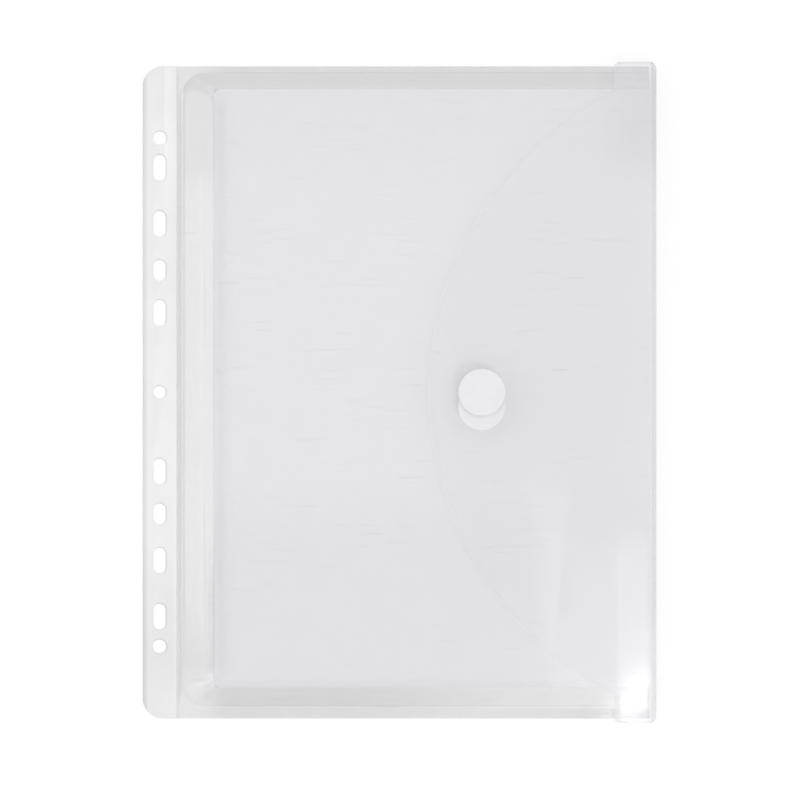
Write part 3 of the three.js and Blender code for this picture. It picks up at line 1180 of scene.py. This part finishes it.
@dataclass
class Coins:
    """The hook-and-loop coins and their adhesive discs."""

    centre: Pair = (38.4 * MM, -6.8 * MM)
    radius: float = 11.0 * MM
    low: float = 8.59 * MM
    backing: float = 8.95 * MM
    crown: float = 9.44 * MM
    spacing: float = 0.78 * MM
    jitter: float = 0.3
    loop_radius: float = 0.3 * MM
    thread: float = 0.07 * MM
    flatness: float = 0.75
    lean: float = 0.7
    seed: int = 11

    def loop(self) -> bpy.types.Mesh:
        """One small loop of the pile.

        Returns:
            Its mesh, standing at the origin.
        """
        bpy.ops.mesh.primitive_torus_add(major_segments=10, minor_segments=4, rotation=(math.pi / 2, 0, 0),
                                         major_radius=self.loop_radius, minor_radius=self.thread)
        loop = Piece("loop", bpy.context.object)
        loop.shape(lambda co: Vector((co.x, co.y, co.z * self.flatness)))
        mesh = loop.obj.data
        bpy.data.objects.remove(loop.obj)
        return mesh

    def pile(self, material: Material) -> None:
        """The loop coin: a cloth disc with hundreds of loops that lean all ways.

        Args:
            material: its finish.
        """
        middle = (*self.centre, (self.low + self.backing) / 2)
        bpy.ops.mesh.primitive_cylinder_add(vertices=96, radius=self.radius, depth=self.backing - self.low,
                                            location=middle)
        coin = Piece("loop_pile_coin", bpy.context.object)
        coin.bevel(0.08 * MM)
        draw = random.Random(self.seed)
        mesh = self.loop()
        made = bmesh.new()
        made.from_mesh(coin.obj.data)
        count = int(2 * self.radius / self.spacing) + 1
        shake = self.jitter
        for i in range(count):
            for j in range(count):
                x = (i - (count - 1) / 2 + 0.5 * (j % 2) + draw.uniform(-shake, shake)) * self.spacing
                y = (j - (count - 1) / 2 + draw.uniform(-shake, shake)) * self.spacing
                if math.hypot(x, y) > self.radius - 0.45 * MM:
                    continue
                first = len(made.verts)
                made.from_mesh(mesh)
                made.verts.ensure_lookup_table()
                turn = Matrix.Rotation(draw.uniform(0, math.pi), 4, "Z")
                lean = Matrix.Rotation(draw.uniform(-self.lean, self.lean), 4, "X")
                place = Vector((self.centre[0] + x, self.centre[1] + y, self.backing + 0.17 * MM))
                for vertex in made.verts[first:]:
                    vertex.co = turn @ lean @ vertex.co + place
                    vertex.co.z = min(vertex.co.z, self.crown)
        made.to_mesh(coin.obj.data)
        made.free()
        coin.smooth(60)
        coin.finish(Body.FRONT, Slot.PILE, material, "loop_coin")

    def build(self, nodes: Nodes) -> None:
        """Builds the pile and dresses the hook coin and the two adhesive discs.

        Args:
            nodes: the CAD nodes by name.
        """
        self.pile(LoopPile().material())
        film = AdhesiveFilm().material()
        dressed = {
            "hook_coin": (Slot.HOOKS, HookWeave().material()),
            "loop_coin_film": (Slot.FILM, film),
            "hook_coin_film": (Slot.FILM, film),
        }
        for name, (slot, material) in dressed.items():
            nodes[name].data.materials.clear()
            nodes[name].data.materials.append(material)


@dataclass(frozen=True)
class Lamp:
    """One rectangular softbox: where it is, what it points at, its sides in metres and its watts."""

    name: str
    place: Point
    aim: Point
    size: Pair
    power: float

    def light(self) -> None:
        """Hangs the lamp in the scene."""
        light = bpy.data.lights.new(self.name, "AREA")
        light.shape = "RECTANGLE"
        light.size, light.size_y = self.size
        light.energy = self.power
        obj = bpy.data.objects.new(self.name, light)
        bpy.context.scene.collection.objects.link(obj)
        obj.location = self.place
        obj.rotation_mode = "QUATERNION"
        obj.rotation_quaternion = (Vector(self.aim) - Vector(self.place)).to_track_quat("-Z", "Y")


@dataclass
class Studio:
    """A white table and world, the square-on camera, and lamps.

    One lamp stands at the left and one high at the lower right. The five small windows are seen mirrored in
    the flap: the highlight in its lower right corner and the soft glow round it.
    """

    camera_height: float = 1.5
    view_width: float = 0.378
    aim_y: float = -3.6 * MM
    world: float = 0.82
    floor_colour: Colour = (0.6, 0.6, 0.6)
    floor_glow: float = 0.42
    floor_far: Pair = (0.5, 1.3)  # distances between which the glow grows, so that the table ends white
    floor_gain: float = 0.24
    lamps: tuple[Lamp, ...] = (
        Lamp("left_box", (-1.0, 0.1, 0.6), (0, 0, 0), (0.6, 0.6), 1.2),
        Lamp("high_lamp", (0.65, -0.91, 2.6), (0, 0, 0), (0.24, 0.24), 12.0),
        Lamp("window", (0.2035, -0.272, 1.3), (0.109, -0.1428, 0), (0.035, 0.015), 0.0217),
        Lamp("window_tip", (0.203, -0.2505, 1.3), (0.203, -0.2505, 0), (0.008, 0.022), 0.0034),
        Lamp("window_glow", (0.202, -0.243, 1.3), (0.202, -0.243, 0), (0.014, 0.055), 0.0033),
        Lamp("window_haze", (0.18, -0.2, 1.3), (0.18, -0.2, 0), (0.1, 0.15), 0.0345),
        Lamp("window_mist", (0.203, -0.22, 1.3), (0.203, -0.22, 0), (0.036, 0.12), 0.0055),
    )

    def floor(self) -> None:
        """The table: white to the camera and in reflections, and still shaded by the object."""
        bpy.ops.mesh.primitive_plane_add(size=8, location=(0, 0, -0.02 * MM))
        table = bpy.context.object
        table.name = "table"
        r = Recipe("table_white")
        r.set(Base_Color=(*self.floor_colour, 1), Roughness=0.9, Specular_IOR_Level=0.0)
        away = r.value(r.node("ShaderNodeVectorMath", {"operation": "LENGTH"}, Vector=r.place), "Value")
        glow = self.floor_glow * (1 + self.floor_gain * r.ramp(away, *self.floor_far))
        path = r.node("ShaderNodeLightPath")
        seen = (r.value(path, "Is Camera Ray") + r.value(path, "Is Glossy Ray")
                + r.value(path, "Is Transmission Ray")).clamped()
        r.set(Emission_Color=(1, 1, 1, 1), Emission_Strength=glow * seen)
        table.data.materials.append(r.material)

    def surround(self) -> None:
        """A soft even world that looks white."""
        world = bpy.data.worlds.new("studio")
        world.use_nodes = True
        tree = world.node_tree
        back = tree.nodes["Background"]
        back.inputs["Color"].default_value = (1, 1, 1, 1)
        path = tree.nodes.new("ShaderNodeLightPath")
        camera = Value(tree, path.outputs["Is Camera Ray"])
        glossy = Value(tree, path.outputs["Is Glossy Ray"])
        strength = self.world + (1 - self.world) * (camera + glossy).clamped()
        tree.links.new(strength.socket, back.inputs["Strength"])
        bpy.context.scene.world = world

    def build(self) -> None:
        """Sets the camera, the world, the lights and the table."""
        scene = bpy.context.scene
        scene.view_settings.view_transform = "Standard"
        scene.cycles.transparent_max_bounces = 32
        lens = bpy.data.cameras.new("camera")
        lens.lens = lens.sensor_width * self.camera_height / self.view_width
        camera = bpy.data.objects.new("camera", lens)
        camera.location = (0, self.aim_y, self.camera_height)
        scene.collection.objects.link(camera)
        scene.camera = camera
        self.surround()
        for lamp in self.lamps:
            lamp.light()
        self.floor()


def main() -> None:
    """Builds the wallet round the frame."""
    logging.basicConfig(level=logging.INFO, format="%(message)s")
    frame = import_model()
    Studio().build()
    BindingStrip().build(frame["nodes"])
    Pocket().build(frame["nodes"])
    FlapClosure().build()
    Coins().build(frame["nodes"])


if __name__ == "__main__":
    main()
